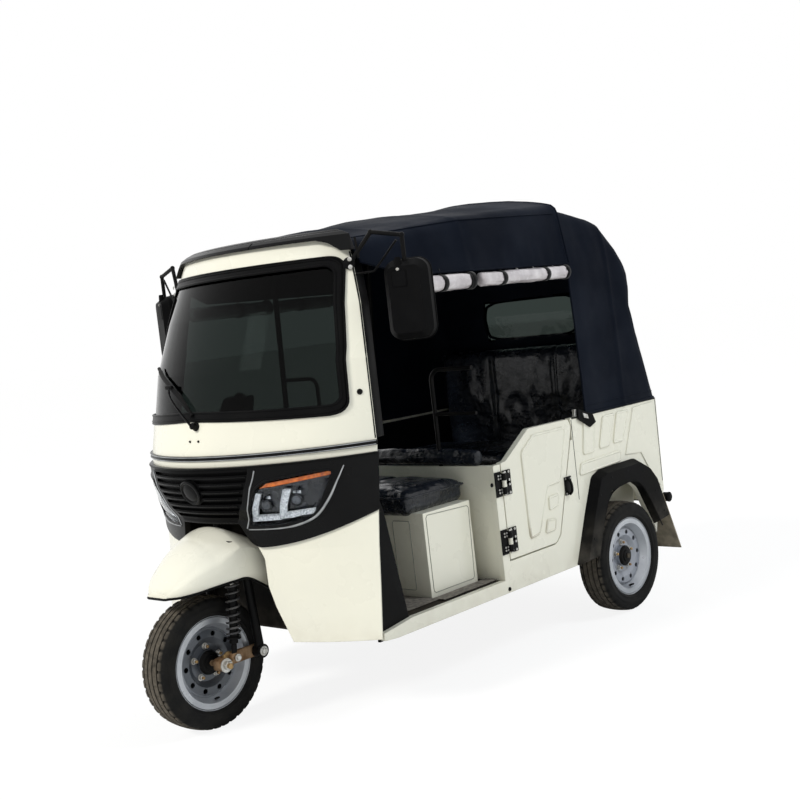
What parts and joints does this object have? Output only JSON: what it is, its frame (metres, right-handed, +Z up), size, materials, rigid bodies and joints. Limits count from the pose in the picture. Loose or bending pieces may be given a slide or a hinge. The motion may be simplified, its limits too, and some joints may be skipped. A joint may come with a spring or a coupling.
{
  "type": "passenger auto rickshaw",
  "caption": "Passenger auto rickshaw with a steered front wheel, moulded cab, bench seats, side doors and a canvas roof and hood.",
  "frame": {"origin": "on the ground under the middle of the vehicle's length and width", "axes": "-Y towards the front, +X towards the vehicle's left side, +Z up"},
  "size_m": [1.5756, 2.6289, 1.8979],
  "materials": {
    "body_paint": "cream white gloss paint",
    "black_plastic": "satin black moulded plastic",
    "black_steel": "black semi-gloss paint",
    "rusty_steel": "bare forged steel with light rust",
    "rubber": "black rubber",
    "glass": "clear windscreen glass",
    "lamp_lens": "clear lamp cover",
    "red_lens": "red lamp plastic",
    "black_vinyl": "black vinyl under clear film",
    "canvas": "coated dark canvas",
    "curtain": "pale pink-grey film cloth",
    "tyre": "black tyre",
    "silver_paint": "silver wheel paint",
    "battery_case": "dark plastic case"
  },
  "bodies": {
    "body": {"battery_pack": "battery_case", "belt_trim": "black_plastic", "bulkhead": "body_paint", "cab_liners": "black_plastic", "cab_lower": "body_paint", "cab_upper": "body_paint", "canopy_frame": "black_steel", "canopy_roof": "canvas", "chassis_frame": "black_steel", "curtain_rolls": "curtain", "dashboard": "black_plastic", "door_hinges": "black_steel", "driver_backrest": "black_vinyl", "driver_seat_box": "body_paint", "driver_seat_cushion": "black_vinyl", "fender_flares": "black_plastic", "floor_pan": "black_steel", "front_mask": "black_plastic", "grille": "black_plastic", "headlamp_housings": "black_plastic", "headlamp_lenses": "lamp_lens", "leaf_springs": "black_steel", "mirror_brackets": "black_steel", "mirrors": "black_plastic", "mudflaps": "rubber", "partition_rail": "black_steel", "passenger_backrest": "black_vinyl", "passenger_cushion": "black_vinyl", "passenger_seat_base": "body_paint", "rear_axle": "black_steel", "rear_bumper": "black_steel", "rear_hood": "canvas", "rear_panel": "body_paint", "side_panel_left": "body_paint", "side_panel_right": "body_paint", "tail_lamps": "red_lens", "tow_eye": "black_steel", "visor": "black_plastic", "windshield": "glass", "windshield_gasket": "rubber"},
    "steering": {"steering_fork": "black_steel", "link_arms": "rusty_steel", "front_shocks": "black_steel", "front_mudguard": "body_paint", "handlebar": "black_steel"},
    "front_wheel": {"front_tyre": "tyre", "front_rim": "silver_paint"},
    "rear_wheel_left": {"rear_left_tyre": "tyre", "rear_left_rim": "silver_paint"},
    "rear_wheel_right": {"rear_right_tyre": "tyre", "rear_right_rim": "silver_paint"},
    "door_left": {"door_left": "body_paint"},
    "door_right": {"door_right": "body_paint"}
  },
  "joints": [
    {"name": "steering", "type": "hinge", "parent": "body", "child": "steering", "pos_m": [0, -1.115, 0], "axis": [0, 0.2588, 0.9659], "range_deg": [-35, 35]},
    {"name": "front_wheel_spin", "type": "hinge", "parent": "steering", "child": "front_wheel", "pos_m": [0, -1.055, 0.245], "axis": [1, 0, 0], "continuous": true},
    {"name": "rear_wheel_left_spin", "type": "hinge", "parent": "body", "child": "rear_wheel_left", "pos_m": [0.589, 0.855, 0.245], "axis": [1, 0, 0], "continuous": true},
    {"name": "rear_wheel_right_spin", "type": "hinge", "parent": "body", "child": "rear_wheel_right", "pos_m": [-0.589, 0.855, 0.245], "axis": [1, 0, 0], "continuous": true},
    {"name": "door_left_hinge", "type": "hinge", "parent": "body", "child": "door_left", "pos_m": [0.632, 0.032, 0.6], "axis": [0, 0, -1], "range_deg": [0, 85]},
    {"name": "door_right_hinge", "type": "hinge", "parent": "body", "child": "door_right", "pos_m": [-0.632, 0.032, 0.6], "axis": [0, 0, 1], "range_deg": [0, 85]}
  ]
}
